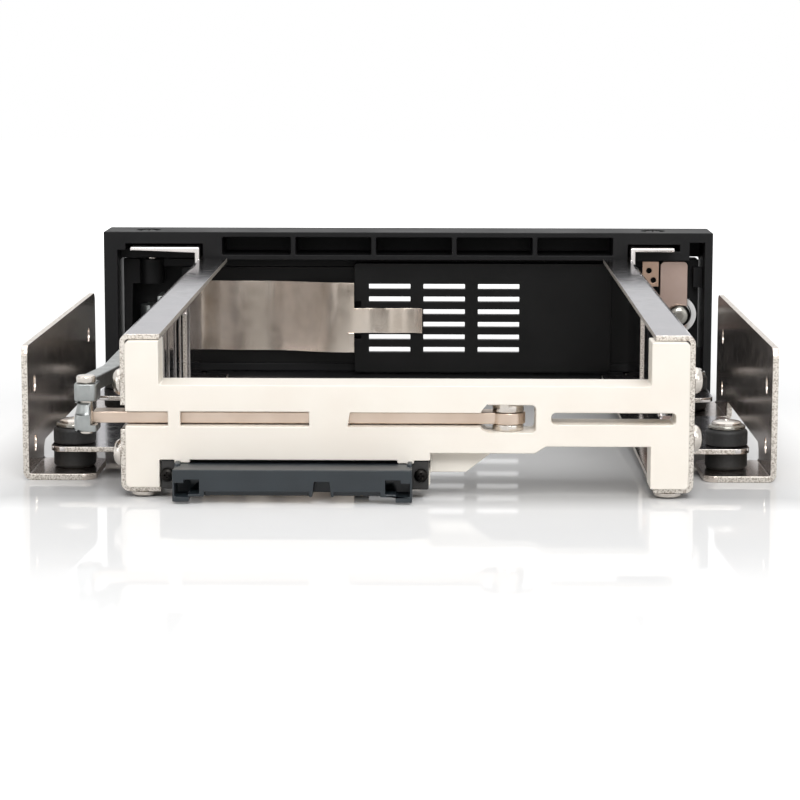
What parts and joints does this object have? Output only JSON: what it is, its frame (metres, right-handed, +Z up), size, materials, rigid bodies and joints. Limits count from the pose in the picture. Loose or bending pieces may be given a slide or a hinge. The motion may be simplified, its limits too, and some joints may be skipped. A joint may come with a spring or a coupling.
{
  "type": "hot swap drive cage",
  "caption": "Trayless drive cage for a front bay: bezel with hinged, slotted door, sheet rails, rubber-damped side brackets, and a lever that ejects the drive as the door opens.",
  "frame": {"origin": "bottom centre of the whole cage: midway across the bezel, midway from the rear connector's face to the bezel's face, at the bezel's bottom face", "axes": "+Y to the front (the door side, the way a drive comes out), +Z up, +X to the right seen from the rear"},
  "size_m": [0.1484, 0.181, 0.0414],
  "materials": {
    "black_abs": "moulded, fine grain",
    "ivory_abs": "moulded, satin",
    "nickel_sheet": "bright nickel plate on cold-rolled sheet",
    "spring_steel": "rolled, bright",
    "screw_steel": "nickel-plated",
    "zinc_plate": "zinc-plated",
    "zinc_casting": "die-cast zinc, grey satin",
    "slate_plastic": "glass-filled, satin",
    "gold_contact": "gold flash",
    "lock_chrome": "polished",
    "rubber": "moulded, matt"
  },
  "bodies": {
    "chassis": {"bezel_frame": "black_abs", "rail_left": "nickel_sheet", "rail_right": "nickel_sheet", "rear_frame": "ivory_abs", "side_bracket_left": "nickel_sheet", "side_bracket_right": "nickel_sheet", "grommet_rear_left": "rubber", "grommet_rear_right": "rubber", "grommet_front_left": "rubber", "grommet_front_right": "rubber", "cup_washer_rear_left": "zinc_plate", "cup_washer_rear_right": "zinc_plate", "cup_washer_front_left": "zinc_plate", "cup_washer_front_right": "zinc_plate", "damper_screws": "screw_steel", "frame_side_screws": "screw_steel", "post_screws": "screw_steel", "bezel_screws": "screw_steel", "sata_plug_housing": "slate_plastic", "drive_receptacle": "slate_plastic", "plug_contacts": "gold_contact", "socket_contacts": "gold_contact", "plug_screws": "screw_steel", "hinge_pin_upper": "screw_steel", "hinge_pin_lower": "screw_steel", "pivot_pin": "screw_steel", "lower_bush": "zinc_plate", "upper_bush": "zinc_plate"},
    "door": {"door_front": "black_abs", "door_liner": "black_abs", "door_crank": "zinc_casting", "leaf_spring": "spring_steel", "spring_rivets": "screw_steel", "lock_barrel": "lock_chrome"},
    "lock": {"lock_core": "lock_chrome", "lock_cam": "zinc_plate", "cam_nut": "zinc_plate"},
    "ejector": {"ejector_lever": "spring_steel", "lever_end_block": "zinc_casting"},
    "push_rod": {"push_rod": "zinc_casting", "link_pin": "screw_steel"}
  },
  "joints": [
    {"name": "door_hinge", "type": "hinge", "parent": "chassis", "child": "door", "pos_m": [-0.0634, 0.0831, 0.0202], "axis": [0, 0, 1], "range_deg": [0, 90]},
    {"name": "rod_slide", "type": "slide", "parent": "chassis", "child": "push_rod", "axis": [0, 1, 0], "range_m": [0, 0.0099]},
    {"name": "ejector_pivot", "type": "hinge", "parent": "chassis", "child": "ejector", "pos_m": [0.0205, -0.0795, 0.01965], "axis": [0, 0, 1], "range_deg": [-7.3, 0]},
    {"name": "lock_turn", "type": "hinge", "parent": "door", "child": "lock", "pos_m": [0.0664, 0.0777, 0.021], "axis": [0, 1, 0], "range_deg": [-90, 0]}
  ],
  "couplings": [
    {"joint": "rod_slide", "follows": "door_hinge", "m_per_rad": 0.0063022},
    {"joint": "ejector_pivot", "follows": "door_hinge", "ratio": -0.080797}
  ]
}
